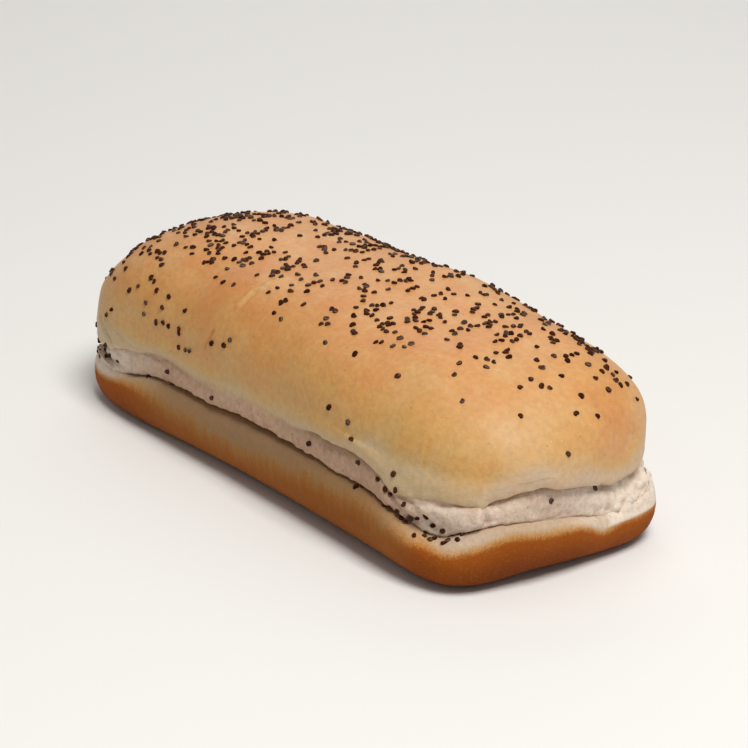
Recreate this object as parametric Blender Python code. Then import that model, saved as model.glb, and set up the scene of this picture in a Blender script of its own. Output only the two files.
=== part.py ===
"""A poppy seed hot dog bun: a pan-baked base with a pale lip, a soft break above it and a domed, seeded crust.

Lengths are in metres. X runs along the bun, Z is up, and the bun rests on the plane Z = 0 with its box centred
on the origin. "Around" is the share of the way round the bun, seen from above: 0 is the middle of the +X end,
0.25 the middle of the +Y side, 0.5 the middle of the -X end and 0.75 the middle of the -Y side. "Inset" is how
far a ring is drawn in from the bun's outline.
"""

import math
import random

import bmesh
import bpy
import numpy as np
from mathutils import Euler, Matrix, Vector, noise
from mathutils.bvhtree import BVHTree

MM = 0.001

# Driving dimensions of the bun. It stands END_HEIGHT high at its ends and ARCH more in the middle.
LENGTH = 0.150
WIDTH = 0.0635
END_HEIGHT = 0.0412
ARCH = 0.0032
LIP_HEIGHT = 0.0116

# Places round the bun
NEAR_CORNER = 0.92
FAR_CORNER = 0.58
TORN_CORNER = 0.070

# Lines round the bun, as (place, millimetres): the height of the base's lip, the height of the crust's lower edge,
# how far in the crease lies, how far the foot is drawn in under the wall, and how far the lip rolls in
LIP_LINE = (
    (0.000, 11.9), (0.030, 9.8), (0.080, 10.6), (0.170, 12.0), (0.330, 12.1), (0.500, 10.6), (0.600, 8.9),
    (0.650, 11.0), (0.750, 12.2), (0.870, 12.4), (0.915, 9.9), (0.957, 13.9),
)
EDGE_LINE = (
    (0.000, 18.9), (0.030, 15.8), (0.080, 14.5), (0.160, 17.2), (0.340, 17.6), (0.500, 15.2), (0.575, 11.4),
    (0.640, 15.8), (0.720, 16.2), (0.800, 17.6), (0.856, 19.2), (0.892, 15.8), (0.940, 17.6), (0.972, 20.6),
)
CREASE_LINE = (
    (0.000, 2.4), (0.070, 1.7), (0.170, 3.2), (0.330, 3.2), (0.500, 2.6), (0.585, 1.9), (0.635, 3.7), (0.860, 3.4),
    (0.920, 4.2), (0.970, 2.3),
)
FOOT_LINE = (
    (0.000, 10.5), (0.070, 4.6), (0.160, 8.5), (0.340, 9.0), (0.420, 7.0), (0.500, 8.5), (0.575, 3.8), (0.660, 7.6),
    (0.750, 11.0), (0.860, 11.0), (0.920, 7.6), (0.970, 11.5),
)
ROLL_LINE = (
    (0.000, 1.5), (0.070, 1.3), (0.160, 3.0), (0.400, 3.0), (0.575, 2.2), (0.660, 3.0), (0.920, 2.4), (0.960, 1.6),
)

# The base, which took the shape of its pan: a rounded foot, widest at a share of the lip's height
WIDEST_SHARE = 0.76
FOOT_TURNS = (0.0, 30.0, 60.0)
FOOT_ROUND = 2.25
LIP_TURNS = (0.0, 35.0, 75.0)
BASE_ROUND_X = 8.0
BASE_ROUND_Y = 4.6
SQUEEZE = ((TORN_CORNER, 0.080, 0.0011), (FAR_CORNER, 0.085, 0.0011))

# The break, where the dough rose past the pan. Its rings are (inset at the ends, inset at the long sides, share of
# the break's height, what a full fold adds to the inset, what it adds to the share).
CREASE_RISE = 0.0001
UNDERSIDE_SHARE = 0.6
UNDERSIDE_RISE = 0.0004
UNDERSIDE_SLOPE = 0.30
BREAK_RINGS = (
    (0.0021, 0.00155, 0.25, 0.0, 0.0),
    (0.0018, 0.00130, 0.55, 0.0, 0.0),
    (0.0018, 0.00135, 0.80, 0.0010, 0.09),
    (0.0016, 0.00140, 0.94, 0.0016, 0.05),
    (0.0008, 0.00140, 1.01, 0.0, -0.02),
    (0.0002, 0.00140, 1.18, 0.0, 0.0),
)
BREAK_SQUEEZE_SHARE = 0.6
BREAK_LEAST = 0.0014
EDGE_SHARE = 0.93
CRUST_RUN = 0.0100
LONG_SIDES = ((0.25, 0.20, 1.0), (0.75, 0.20, 1.0))
FOLD_STRETCHES = ((0.985, 0.075, 1.0), (0.50, 0.080, 0.8), (0.842, 0.045, 1.0), (0.66, 0.040, 0.2), (0.31, 0.080, 0.6))
PINCH = ((TORN_CORNER, 0.055, 0.0015),)
OVERHANG = ((0.75, 0.12, 0.0006), (0.26, 0.12, 0.0005), (0.915, 0.036, -0.0014), (FAR_CORNER, 0.050, -0.0006))

# The dome
DOME_END_INSET = 0.0005
DOME_SIDE_INSET = 0.0014
SHOULDER_HEIGHT = 0.0236
DOME_ROUND_X = 5.1
DOME_ROUND_Y = 2.65
DOME_ROUND_Z = 2.02
FAR_END_SWELL = 0.020
NEAR_END_SWELL = 0.010

# Where the crust bulges, as (centre, reach, heights where it starts, is full and is gone, push along X and Y) in mm
BULGES = (
    ((-67.0, -26.0), 30.0, (10.5, 14.0, 40.0), (-1.1, -1.9)),
    ((68.0, 24.0), 25.0, (14.8, 16.4, 42.0), (0.9, 1.3)),
    ((68.0, 24.0), 26.0, (15.0, 26.0, 42.0), (0.35, 0.6)),
)

# Unevenness of a hand-sized loaf
SIDE_BOW = 0.0014
WAIST_SHARE = 0.022
LUMP_SIZE = 0.026
LUMP_DEPTH = 0.0011
LUMP_PLACE = (3.1, 0.4, 7.7)

# Poppy seeds
SEED_LENGTH = 0.00150
SEED_WIDTH = 0.00120
SEED_THICKNESS = 0.00105
SEED_SUNK_SHARE = 0.34
SEED_SPACING = 0.0026
SEED_COUNT = 262
SEED_SEGMENTS = 6
SEED_RINGS = 3
SEED_DRAW = 7

# Where seeds stuck: on crust no steeper than this, thinning to the -Y side and to the near end, in patches
SEED_STEEPEST = 0.42
SEED_SIDE_START = -0.006
SEED_SIDE_REACH = 0.028
SEED_SIDE_LEAST = 0.25
SEED_END_START = 0.58
SEED_END_STOP = 0.93
SEED_END_LEAST = 0.25
SEED_PATCH_SIZE = 0.013
SEED_PATCH_LEAST = 0.35

# Seeds that fell on the lip, as (place, reach, count), and how far in they lie
FALLEN_SEEDS = ((NEAR_CORNER, 0.045, 8), (FAR_CORNER, 0.025, 3))
FALLEN_INSET = 0.0028

# Mesh steps
AROUND_STEPS = 64
DOME_STEPS = 12
CURVE_SAMPLES = 4096
FLAT_CROWN = 0.999

CRUST_COLOUR = (0.72, 0.38, 0.15, 1.0)
CRUST_ROUGHNESS = 0.55


def outline(half_length, half_width, round_x, round_y):
    """Points evenly spaced round |x / half_length| ** round_x + |y / half_width| ** round_y = 1."""
    angle = np.linspace(0.0, 2.0 * math.pi, CURVE_SAMPLES + 1)
    x = half_length * np.sign(np.cos(angle)) * np.abs(np.cos(angle)) ** (2.0 / round_x)
    y = half_width * np.sign(np.sin(angle)) * np.abs(np.sin(angle)) ** (2.0 / round_y)
    run = np.concatenate([[0.0], np.cumsum(np.hypot(np.diff(x), np.diff(y)))])
    at = np.arange(AROUND_STEPS) / AROUND_STEPS * run[-1]
    return np.interp(at, run, x), np.interp(at, run, y)


def bumps(around, stretches):
    """The sum of smooth bumps round the bun, each full at its place and gone at its reach to either side."""
    total = np.zeros_like(around)
    for place, reach, amount in stretches:
        away = np.minimum(np.abs((around - place + 0.5) % 1.0 - 0.5) / reach, 1.0)
        total += amount * (0.5 + 0.5 * np.cos(math.pi * away))
    return total


def along(around, line):
    """A smooth line round the bun through (place, value) pairs."""
    places = np.array([place for place, _ in line])
    values = np.array([value for _, value in line])
    places = np.concatenate([places[-2:] - 1.0, places, places[:2] + 1.0])
    values = np.concatenate([values[-2:], values, values[:2]])
    slopes = np.zeros_like(values)
    slopes[1:-1] = (values[2:] - values[:-2]) / (places[2:] - places[:-2])
    i = np.clip(np.searchsorted(places, around, "right") - 1, 1, len(places) - 3)
    gap = places[i + 1] - places[i]
    t = (around - places[i]) / gap
    start = (2 * t**3 - 3 * t**2 + 1) * values[i] + (t**3 - 2 * t**2 + t) * gap * slopes[i]
    return start + (3 * t**2 - 2 * t**3) * values[i + 1] + (t**3 - t**2) * gap * slopes[i + 1]


def smooth(value, start, stop):
    """0 at start, 1 at stop, easing in and out between them."""
    share = np.clip((value - start) / (stop - start), 0.0, 1.0)
    return share * share * (3.0 - 2.0 * share)


def lip_height(around):
    """Height of the lip's top."""
    return MM * along(around, LIP_LINE)


def crease_inset(around):
    """How far in the deepest line of the crease lies."""
    return bumps(around, SQUEEZE) + MM * along(around, CREASE_LINE)


def base_levels(around):
    """(inset, height) of each ring from the resting face up to the deepest line of the crease."""
    lip = lip_height(around)
    squeeze = bumps(around, SQUEEZE)
    foot = MM * along(around, FOOT_LINE)
    roll = MM * along(around, ROLL_LINE)
    widest = WIDEST_SHARE * lip
    levels = []
    for turn in FOOT_TURNS:
        inward = foot * (1.0 - math.sin(math.radians(turn)) ** (2.0 / FOOT_ROUND))
        rise = widest * (1.0 - math.cos(math.radians(turn)) ** (2.0 / FOOT_ROUND))
        levels.append((squeeze + inward, rise))
    for turn in LIP_TURNS:
        inward = roll * (1.0 - math.cos(math.radians(turn)))
        levels.append((squeeze + inward, widest + (lip - widest) * math.sin(math.radians(turn))))
    levels.append((crease_inset(around), lip + CREASE_RISE))
    return levels


def break_levels(around):
    """(inset, height) of each ring from the crease up to the foot of the dome."""
    lip = lip_height(around)
    side = bumps(around, LONG_SIDES)
    squeeze = BREAK_SQUEEZE_SHARE * bumps(around, SQUEEZE)
    fold = np.minimum(bumps(around, FOLD_STRETCHES), 1.0)
    overhang = bumps(around, OVERHANG)
    pinch = bumps(around, PINCH)
    height = np.maximum(MM * along(around, EDGE_LINE) - lip, BREAK_LEAST) / EDGE_SHARE
    crease = crease_inset(around)
    first_end, first_side = BREAK_RINGS[0][:2]
    face = squeeze + first_end + (first_side - first_end) * side - overhang
    rise = UNDERSIDE_RISE + UNDERSIDE_SLOPE * UNDERSIDE_SHARE * np.maximum(crease - face, 0.0)
    levels = [(crease + UNDERSIDE_SHARE * (face - crease), lip + np.minimum(rise, 0.13 * height))]
    for end_inset, side_inset, share, fold_inset, fold_share in BREAK_RINGS:
        inset = squeeze + end_inset + (side_inset - end_inset) * side + fold_inset * fold
        inset = inset - overhang * (1.0 - smooth(share, 0.25, 0.8))
        inset = inset + pinch * smooth(share, 0.25, 0.88) * (1.0 - smooth(share, 0.95, 1.07))
        rise = (min(share, 1.0) + fold_share * fold) * height + max(share - 1.0, 0.0) * CRUST_RUN
        levels.append((inset, lip + rise))
    return levels


def level_ring(inset, height, blend):
    """The outline drawn in by inset, at a height. Blend runs from the base's outline, 0, to the dome's, 1."""
    x, y = outline(
        LENGTH / 2,
        WIDTH / 2,
        BASE_ROUND_X + (DOME_ROUND_X - BASE_ROUND_X) * blend,
        BASE_ROUND_Y + (DOME_ROUND_Y - BASE_ROUND_Y) * blend,
    )
    return np.stack([x * (1.0 - inset / (LENGTH / 2)), y * (1.0 - inset / (WIDTH / 2)), height], axis=1)


def dome_ring(share):
    """A ring of the dome, from its foot at share 0 to a narrow flat strip at the crown at share 1."""
    rise = FLAT_CROWN * math.sin(share * math.pi / 2)
    left = 1.0 - rise**DOME_ROUND_Z
    x, y = outline(
        (LENGTH / 2 - DOME_END_INSET) * left ** (1.0 / DOME_ROUND_X),
        (WIDTH / 2 - DOME_SIDE_INSET) * left ** (1.0 / DOME_ROUND_Y),
        DOME_ROUND_X,
        DOME_ROUND_Y,
    )
    height = SHOULDER_HEIGHT + (END_HEIGHT - SHOULDER_HEIGHT) * rise
    swell = np.where(x < 0.0, 1.0 + FAR_END_SWELL, 1.0 + NEAR_END_SWELL)
    return np.stack([x * swell, y, np.full_like(x, height)], axis=1)


def rings():
    """Every ring of the bun as an array of points, from the resting face to the crown."""
    around = np.arange(AROUND_STEPS) / AROUND_STEPS
    made = [level_ring(inset, height, 0.0) for inset, height in base_levels(around)]
    middle = break_levels(around)
    for place, (inset, height) in enumerate(middle):
        made.append(level_ring(inset, height, smooth((place + 1) / len(middle), 0.0, 1.0)))
    for step in range(DOME_STEPS):
        made.append(dome_ring(step / (DOME_STEPS - 1)))
    return made


def uneven(points):
    """Arches and bows the loaf and swells it in broad lumps, leaving the resting face flat."""
    moved = points.copy()
    middle = 1.0 - (2.0 * points[:, 0] / LENGTH) ** 2
    loose = np.minimum(1.0, points[:, 2] / LIP_HEIGHT)
    lumps = [noise.noise(Vector(point)) for point in points / LUMP_SIZE + np.array(LUMP_PLACE)]
    swell = loose * LUMP_DEPTH * np.array(lumps)
    moved[:, :2] *= (1.0 + swell / (WIDTH / 2))[:, None]
    moved[:, 2] *= 1.0 + swell / END_HEIGHT
    moved[:, 1] *= 1.0 - WAIST_SHARE * middle
    moved[:, 1] += SIDE_BOW * (middle - 0.5) * loose
    moved[:, 2] += ARCH * middle * loose
    height = points[:, 2] / MM
    for centre, reach, (start, full, gone), push in BULGES:
        away = np.minimum(np.hypot(*(points[:, :2].T / MM - np.array(centre)[:, None])) / reach, 1.0)
        share = (0.5 + 0.5 * np.cos(math.pi * away)) * smooth(height, start, full) * (1.0 - smooth(height, full, gone))
        moved[:, :2] += share[:, None] * np.array(push) * MM
    return moved


def make_body():
    """The loaf without its seeds, as one closed mesh object."""
    mesh = bmesh.new()
    loops = [[mesh.verts.new(point) for point in uneven(ring)] for ring in rings()]
    count = AROUND_STEPS
    mesh.faces.new(list(reversed(loops[0])))
    for lower, upper in zip(loops, loops[1:]):
        for i in range(count):
            j = (i + 1) % count
            mesh.faces.new((lower[i], lower[j], upper[j], upper[i]))
    crown = loops[-1]
    for i in range(count // 2):
        strip = [crown[i], crown[i + 1], crown[-i - 1], crown[-i % count]]
        corners = list(dict.fromkeys(strip))
        if len(corners) > 2:
            mesh.faces.new(corners)
    bmesh.ops.recalc_face_normals(mesh, faces=mesh.faces)
    data = bpy.data.meshes.new("bun")
    mesh.to_mesh(data)
    mesh.free()
    body = bpy.data.objects.new("bun", data)
    bpy.context.collection.objects.link(body)
    return body


def seed_share(point, normal):
    """How thickly seeds lie at a point of the dome, from 0 to 1: most along the crown, few down the sides."""
    if point.z < SHOULDER_HEIGHT:
        return 0.0
    crown = max(0.0, (normal.z - SEED_STEEPEST) / (1.0 - SEED_STEEPEST))
    side = max(SEED_SIDE_LEAST, min(1.0, 1.0 + (point.y - SEED_SIDE_START) / SEED_SIDE_REACH))
    along = 2.0 * point.x / LENGTH
    end = max(0.0, min(1.0, (SEED_END_STOP - along) / (SEED_END_STOP - SEED_END_START)))
    patch = 0.5 + 0.5 * noise.noise(point / SEED_PATCH_SIZE)
    return (
        crown
        * side
        * (SEED_END_LEAST + (1.0 - SEED_END_LEAST) * end)
        * (SEED_PATCH_LEAST + (1.0 - SEED_PATCH_LEAST) * patch)
    )


def add_place(places, point, normal):
    """Keeps a place for a seed if it is clear of the others."""
    if all((point - other).length > SEED_SPACING for other, _ in places):
        places.append((point, normal))


def fallen_places(draw):
    """Points and normals on the lip for the seeds that fell there."""
    around = np.arange(AROUND_STEPS) / AROUND_STEPS
    ledge = uneven(level_ring(FALLEN_INSET, lip_height(around), 0.0))
    places = []
    for place, reach, count in FALLEN_SEEDS:
        wanted = len(places) + count
        while len(places) < wanted:
            at = draw.uniform(place - reach, place + reach) * AROUND_STEPS
            start = Vector(ledge[int(at) % AROUND_STEPS])
            end = Vector(ledge[(int(at) + 1) % AROUND_STEPS])
            add_place(places, start.lerp(end, at % 1.0), Vector((0.0, 0.0, 1.0)))
    return places


def seed_places(body, draw):
    """Points and normals for all the seeds: those on the lip, then those drawn on the crust by seed_share."""
    tree = BVHTree.FromObject(body, bpy.context.evaluated_depsgraph_get())
    places = fallen_places(draw)
    while len(places) < SEED_COUNT:
        x = draw.uniform(-LENGTH / 2, LENGTH / 2)
        y = draw.uniform(-WIDTH / 2, WIDTH / 2)
        point, normal, _, _ = tree.ray_cast(Vector((x, y, 2.0 * END_HEIGHT)), Vector((0.0, 0.0, -1.0)))
        if point is not None and draw.random() < seed_share(point, normal) / max(normal.z, SEED_STEEPEST):
            add_place(places, point, normal)
    return places


def seed_mesh():
    """One poppy seed as a low faceted bean, its long axis along X."""
    mesh = bmesh.new()
    bmesh.ops.create_uvsphere(mesh, u_segments=SEED_SEGMENTS, v_segments=SEED_RINGS, radius=0.5)
    bmesh.ops.scale(mesh, vec=(SEED_LENGTH, SEED_WIDTH, SEED_THICKNESS), verts=mesh.verts)
    data = bpy.data.meshes.new("seed")
    mesh.to_mesh(data)
    mesh.free()
    return data


def make_seeds(body):
    """A collection of seeds standing a little sunk in the crust."""
    draw = random.Random(SEED_DRAW)
    seeds = bpy.data.collections.new("seeds")
    bpy.context.scene.collection.children.link(seeds)
    data = seed_mesh()
    for number, (point, normal) in enumerate(seed_places(body, draw)):
        stand = normal.to_track_quat("Z", "X").to_matrix().to_4x4()
        turn = Euler((0.0, 0.0, draw.uniform(0.0, math.pi))).to_matrix().to_4x4()
        lift = normal * SEED_THICKNESS * (0.5 - SEED_SUNK_SHARE)
        seed = bpy.data.objects.new(f"seed_{number:03d}", data)
        seed.matrix_world = Matrix.Translation(point + lift) @ stand @ turn
        seeds.objects.link(seed)
    return seeds


def fuse(body, seeds):
    """Joins the seeds to the crust with one Boolean union, then removes them."""
    union = body.modifiers.new("seeds", "BOOLEAN")
    union.operation = "UNION"
    union.operand_type = "COLLECTION"
    union.collection = seeds
    union.solver = "EXACT"
    with bpy.context.temp_override(object=body, active_object=body):
        bpy.ops.object.modifier_apply(modifier=union.name)
    for seed in list(seeds.objects):
        bpy.data.objects.remove(seed)
    bpy.data.collections.remove(seeds)


def centre(body):
    """Moves the mesh so that its box stands centred on the origin."""
    corners = np.array([vertex.co for vertex in body.data.vertices])
    low, high = corners.min(axis=0), corners.max(axis=0)
    body.data.transform(Matrix.Translation((-(low[0] + high[0]) / 2, -(low[1] + high[1]) / 2, -low[2])))


def crust_material():
    """The crust's golden tan, with a soft sheen."""
    material = bpy.data.materials.new("crust")
    material.use_nodes = True
    shader = material.node_tree.nodes["Principled BSDF"]
    shader.inputs["Base Color"].default_value = CRUST_COLOUR
    shader.inputs["Roughness"].default_value = CRUST_ROUGHNESS
    shader.inputs["Metallic"].default_value = 0.0
    return material


def main():
    for old in list(bpy.data.objects):
        bpy.data.objects.remove(old)
    body = make_body()
    body.data.materials.append(crust_material())
    fuse(body, make_seeds(body))
    centre(body)


main()
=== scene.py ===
"""A poppy seed hot dog bun on a pale floor: baked crust, soft pale break, pan-browned base and strewn seeds.

Lengths are in metres. X runs along the bun towards the end that faces the camera, -Y is the long side that
faces it, and Z is up. "Around" is the share of the way round the bun, seen from above: 0 is the middle of the
+X end, 0.25 the middle of the +Y side, 0.5 the middle of the -X end and 0.75 the middle of the -Y side.
"Inset" is how far a ring of the loaf is drawn in from the bun's outline.
"""

import math

import bmesh
import bpy
import numpy as np
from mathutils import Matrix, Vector, noise


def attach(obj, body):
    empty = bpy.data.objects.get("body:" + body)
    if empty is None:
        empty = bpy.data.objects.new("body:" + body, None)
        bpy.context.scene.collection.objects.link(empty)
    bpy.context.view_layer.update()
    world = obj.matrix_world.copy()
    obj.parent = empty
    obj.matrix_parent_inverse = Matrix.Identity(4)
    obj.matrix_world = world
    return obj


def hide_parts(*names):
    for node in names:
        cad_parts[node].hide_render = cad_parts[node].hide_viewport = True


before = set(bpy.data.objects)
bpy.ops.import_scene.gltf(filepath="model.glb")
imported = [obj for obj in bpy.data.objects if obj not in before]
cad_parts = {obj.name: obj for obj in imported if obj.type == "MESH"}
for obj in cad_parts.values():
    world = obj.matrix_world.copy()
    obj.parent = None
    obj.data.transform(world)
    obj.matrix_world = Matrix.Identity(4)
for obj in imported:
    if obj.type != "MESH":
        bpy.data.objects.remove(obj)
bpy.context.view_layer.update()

MM = 0.001

# A distance that no fold, mark or wrinkle reaches
FAR_AWAY = 1.0

# Driving dimensions, as the solid has them
LENGTH = 0.150
WIDTH = 0.0635
END_HEIGHT = 0.0412
ARCH = 0.0032
LIP_HEIGHT = 0.0116

# Places round the bun
FAR_CORNER = 0.58
TORN_CORNER = 0.070

# Lines round the bun, as (place, millimetres). Heights are before the loaf arches.
LIP_LINE = (
    (0.000, 11.9), (0.010, 11.0), (0.022, 9.9), (0.045, 9.8), (0.070, 10.2), (0.110, 11.8), (0.170, 12.0),
    (0.250, 12.3), (0.330, 12.1), (0.410, 11.2), (0.500, 10.6), (0.560, 9.4), (0.600, 8.9), (0.625, 9.2),
    (0.650, 11.0), (0.710, 11.4), (0.750, 12.2), (0.840, 12.6), (0.875, 12.2), (0.900, 10.3), (0.920, 9.9),
    (0.935, 11.8), (0.950, 13.8), (0.965, 13.9), (0.980, 13.2),
)
EDGE_LINE = (
    (0.000, 18.9), (0.010, 18.2), (0.019, 17.2), (0.030, 15.8), (0.044, 14.7), (0.070, 14.4), (0.105, 15.4),
    (0.160, 17.2), (0.250, 18.2),
    (0.340, 17.6), (0.420, 16.2), (0.500, 15.2), (0.550, 12.4), (0.575, 11.4), (0.598, 12.8), (0.620, 15.0),
    (0.636, 15.6), (0.655, 17.4), (0.675, 16.8), (0.700, 16.0), (0.722, 16.2), (0.750, 17.3), (0.790, 17.4),
    (0.820, 18.4), (0.856, 19.2), (0.876, 18.2), (0.892, 15.8), (0.912, 16.9), (0.945, 17.6), (0.954, 19.0),
    (0.974, 20.7), (0.987, 19.6),
)
CREASE_LINE = (
    (0.000, 2.4), (0.024, 2.0), (0.070, 1.7), (0.105, 2.2), (0.170, 3.2), (0.330, 3.2), (0.500, 2.6),
    (0.560, 1.9), (0.590, 2.0), (0.612, 2.6), (0.632, 3.7), (0.660, 3.6), (0.750, 3.4), (0.860, 3.4),
    (0.905, 4.1), (0.930, 4.2), (0.950, 3.2), (0.972, 2.3),
)
BROWN_LINE = (
    (0.000, 10.4), (0.009, 9.4), (0.018, 7.5), (0.024, 7.5), (0.032, 8.0), (0.060, 7.9), (0.110, 8.8),
    (0.170, 8.6), (0.250, 7.6), (0.350, 8.0), (0.500, 8.0), (0.560, 6.8), (0.600, 6.2), (0.640, 7.8),
    (0.680, 7.2), (0.720, 6.2), (0.765, 6.6), (0.800, 8.4), (0.830, 9.8), (0.868, 10.4), (0.888, 9.3),
    (0.902, 8.8), (0.913, 8.9), (0.925, 8.4), (0.941, 10.0), (0.960, 11.8), (0.980, 11.2),
)

# The pan-baked base: how far its foot is drawn in under its wall, the share of the lip's height where it is
# widest, and how far its lip rolls in
FOOT_LINE = (
    (0.000, 10.5), (0.030, 8.5), (0.070, 4.6), (0.110, 6.0), (0.160, 8.5), (0.250, 9.5), (0.340, 9.0),
    (0.420, 7.0), (0.500, 8.5), (0.575, 3.8), (0.620, 5.6), (0.660, 7.6), (0.700, 10.0), (0.750, 11.0),
    (0.850, 11.0), (0.890, 9.8), (0.920, 7.6), (0.940, 8.8), (0.970, 11.5),
)
WIDEST_LINE = (
    (0.00, 0.82), (0.02, 0.86), (0.07, 0.72), (0.16, 0.70), (0.40, 0.70), (0.50, 0.76), (0.575, 0.60),
    (0.66, 0.68), (0.86, 0.74), (0.92, 0.76), (0.96, 0.80),
)
ROLL_LINE = (
    (0.00, 1.5), (0.07, 1.3), (0.16, 3.0), (0.40, 3.0), (0.50, 2.2), (0.575, 2.2), (0.66, 3.0), (0.86, 2.6),
    (0.92, 2.4), (0.96, 1.6),
)
FOOT_TURNS = (0.0, 15.0, 30.0, 45.0, 60.0, 75.0)
FOOT_ROUND = 2.25
FLAT_RING_INSET = 0.006
LIP_TURNS = (0.0, 25.0, 50.0, 75.0)
BASE_ROUND_X = 8.0
BASE_ROUND_Y = 4.6
SQUEEZE = ((TORN_CORNER, 0.080, 0.0011), (0.575, 0.085, 0.0011))
BREAK_SQUEEZE_SHARE = 0.6

# The crease on top of the lip, and the break's underside above it. Each ring of the underside is its share of
# the way out from the crease to the break's face, and its height above the lip. Where the face stands far
# out, the underside slopes up too, to a share of the break's height at most.
CREASE_RISE = 0.0001
CREASE_WANDER = ((0.0003, 60, 3.0),)
UNDERSIDE_RINGS = ((0.30, 0.00018), (0.70, 0.00042), (0.96, 0.00090))
UNDERSIDE_SLOPE = 0.30
UNDERSIDE_LEVEL_RUN = 0.0014
UNDERSIDE_HIGHEST = 0.22

# The break's face. Each ring is (inset at the ends, inset at the long sides, share of the break's height) and
# what a full fold adds to the inset and the share. A share above 1 runs on up the crust.
BREAK_RINGS = (
    (0.0021, 0.00155, 0.250, 0.0, 0.0),
    (0.0018, 0.00130, 0.450, 0.0, 0.0),
    (0.0018, 0.00130, 0.650, 0.0002, 0.03),
    (0.0018, 0.00135, 0.800, 0.0010, 0.09),
    (0.0017, 0.00140, 0.880, 0.0020, 0.10),
    (0.0016, 0.00140, 0.950, 0.0012, 0.05),
    (0.0008, 0.00140, 1.010, 0.0, -0.02),
    (0.0003, 0.00140, 1.080, 0.0, -0.02),
    (0.0001, 0.00140, 1.180, 0.0, 0.0),
)
LOWEST_BREAK = 0.0014
EDGE_SHARE = 0.93
CRUST_RUN = 0.0100

# Shares of the break's height where its overhang fades out, where a pinch comes and goes, and where the
# face starts to wander. Away from the folds it wanders by a share.
OVERHANG_FADE = (0.25, 0.80)
PINCH_SPAN = ((0.25, 0.88), (0.95, 1.07))
WANDER_START = (0.6, 0.9)
WANDER_LEFT = 0.3

# The break's folds, pinches and overhangs. Stretches are (place, reach, share or metres), and layers are
# (amount, waves in one turn, where the noise starts).
FULLEST_FOLD = 1.15
FOLD_WANDER = ((0.0005, 34, 8.0), (0.0003, 120, 1.0))
FOLD_TEARS = ((0.35, 90, 2.0), (0.25, 260, 5.0))
LONG_SIDES = ((0.25, 0.20, 1.0), (0.75, 0.20, 1.0))
FOLD_STRETCHES = (
    (0.985, 0.075, 1.0),
    (0.50, 0.080, 0.8),
    (0.842, 0.045, 1.0),
    (0.66, 0.040, 0.18),
    (0.31, 0.080, 0.6),
)
PINCH_STRETCHES = ((TORN_CORNER, 0.055, 0.0015),)
OVERHANG_STRETCHES = (
    (0.75, 0.12, 0.0006),
    (0.26, 0.12, 0.0005),
    (0.915, 0.036, -0.0014),
    (0.585, 0.050, -0.0006),
)

# The dome
DOME_END_INSET = 0.0005
DOME_SIDE_INSET = 0.0014
SHOULDER_HEIGHT = 0.0236
DOME_ROUND_X = 5.1
DOME_ROUND_Y = 2.65
DOME_ROUND_Z = 2.02
FAR_END_SWELL = 0.020
NEAR_END_SWELL = 0.010
DOME_RING_SHARES = (0.0, 0.06, 0.12, 0.18, 0.24, 0.30, 0.36)
DOME_FOOT_INSET = 0.0002
DOME_FOOT_SHARE = 0.12

# Where the crust bulges, in millimetres, as (centre, reach, heights where it starts, is full and is gone,
# push along X and Y)
BULGES = (
    ((-67.0, -26.0), 30.0, (10.5, 14.0, 40.0), (-1.1, -1.9)),
    ((68.0, 24.0), 25.0, (14.8, 16.4, 42.0), (0.9, 1.3)),
    ((68.0, 24.0), 26.0, (15.0, 26.0, 42.0), (0.35, 0.6)),
)

# Unevenness of a hand-sized loaf
SIDE_BOW = 0.0014
WAIST_SHARE = 0.022
LUMP_SIZE = 0.026
LUMP_DEPTH = 0.0011
LUMP_PLACE = (3.1, 0.4, 7.7)

# Mesh steps. The crown is a grid that the topmost ring runs round.
CROWN_ALONG = 226
CROWN_ACROSS = 94
AROUND_STEPS = 2 * (CROWN_ALONG + CROWN_ACROSS)
CURVE_SAMPLES = 4096
RING_SPACING = 0.00052
FEWEST_RING_STEPS = 2


def outline(half_length, half_width, round_x, round_y):
    """Points evenly spaced round |x / half_length| ** round_x + |y / half_width| ** round_y = 1."""
    angle = np.linspace(0.0, 2.0 * math.pi, CURVE_SAMPLES + 1)
    x = half_length * np.sign(np.cos(angle)) * np.abs(np.cos(angle)) ** (2.0 / round_x)
    y = half_width * np.sign(np.sin(angle)) * np.abs(np.sin(angle)) ** (2.0 / round_y)
    run = np.concatenate([[0.0], np.cumsum(np.hypot(np.diff(x), np.diff(y)))])
    at = np.arange(AROUND_STEPS) / AROUND_STEPS * run[-1]
    return np.interp(at, run, x), np.interp(at, run, y)


def bumps(around, stretches):
    """The sum of smooth bumps round the bun, each full at its place and gone at its reach to either side."""
    total = np.zeros_like(around)
    for place, reach, amount in stretches:
        away = np.minimum(np.abs((around - place + 0.5) % 1.0 - 0.5) / reach, 1.0)
        total += amount * (0.5 + 0.5 * np.cos(math.pi * away))
    return total


def ripple(points, size, place=(0.0, 0.0, 0.0)):
    """Smooth noise from -1 to 1 at each point, with lumps of about that size."""
    scaled = np.asarray(points) / size + np.asarray(place)
    return np.array([noise.noise(Vector(point)) for point in scaled])


def ragged(around, waves, place):
    """Noise along the way round the bun, with about that many waves in one turn."""
    turn = 2.0 * math.pi * around
    circle = np.stack([np.cos(turn), np.sin(turn), np.full_like(turn, place)], axis=1)
    return ripple(circle, 2.0 * math.pi / waves)


def wandering(around, layers):
    """Layers of noise round the bun added up, each (amount, waves in one turn, where its noise starts)."""
    return sum(amount * ragged(around, waves, place) for amount, waves, place in layers)


def smooth(value, start, stop):
    """0 at start, 1 at stop, easing in and out between them."""
    share = np.clip((value - start) / (stop - start), 0.0, 1.0)
    return share * share * (3.0 - 2.0 * share)


def within(value, start, stop):
    """1 between two pairs of values and 0 outside them, easing in over the first and out over the second."""
    return smooth(value, *start) * (1.0 - smooth(value, *stop))


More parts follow.
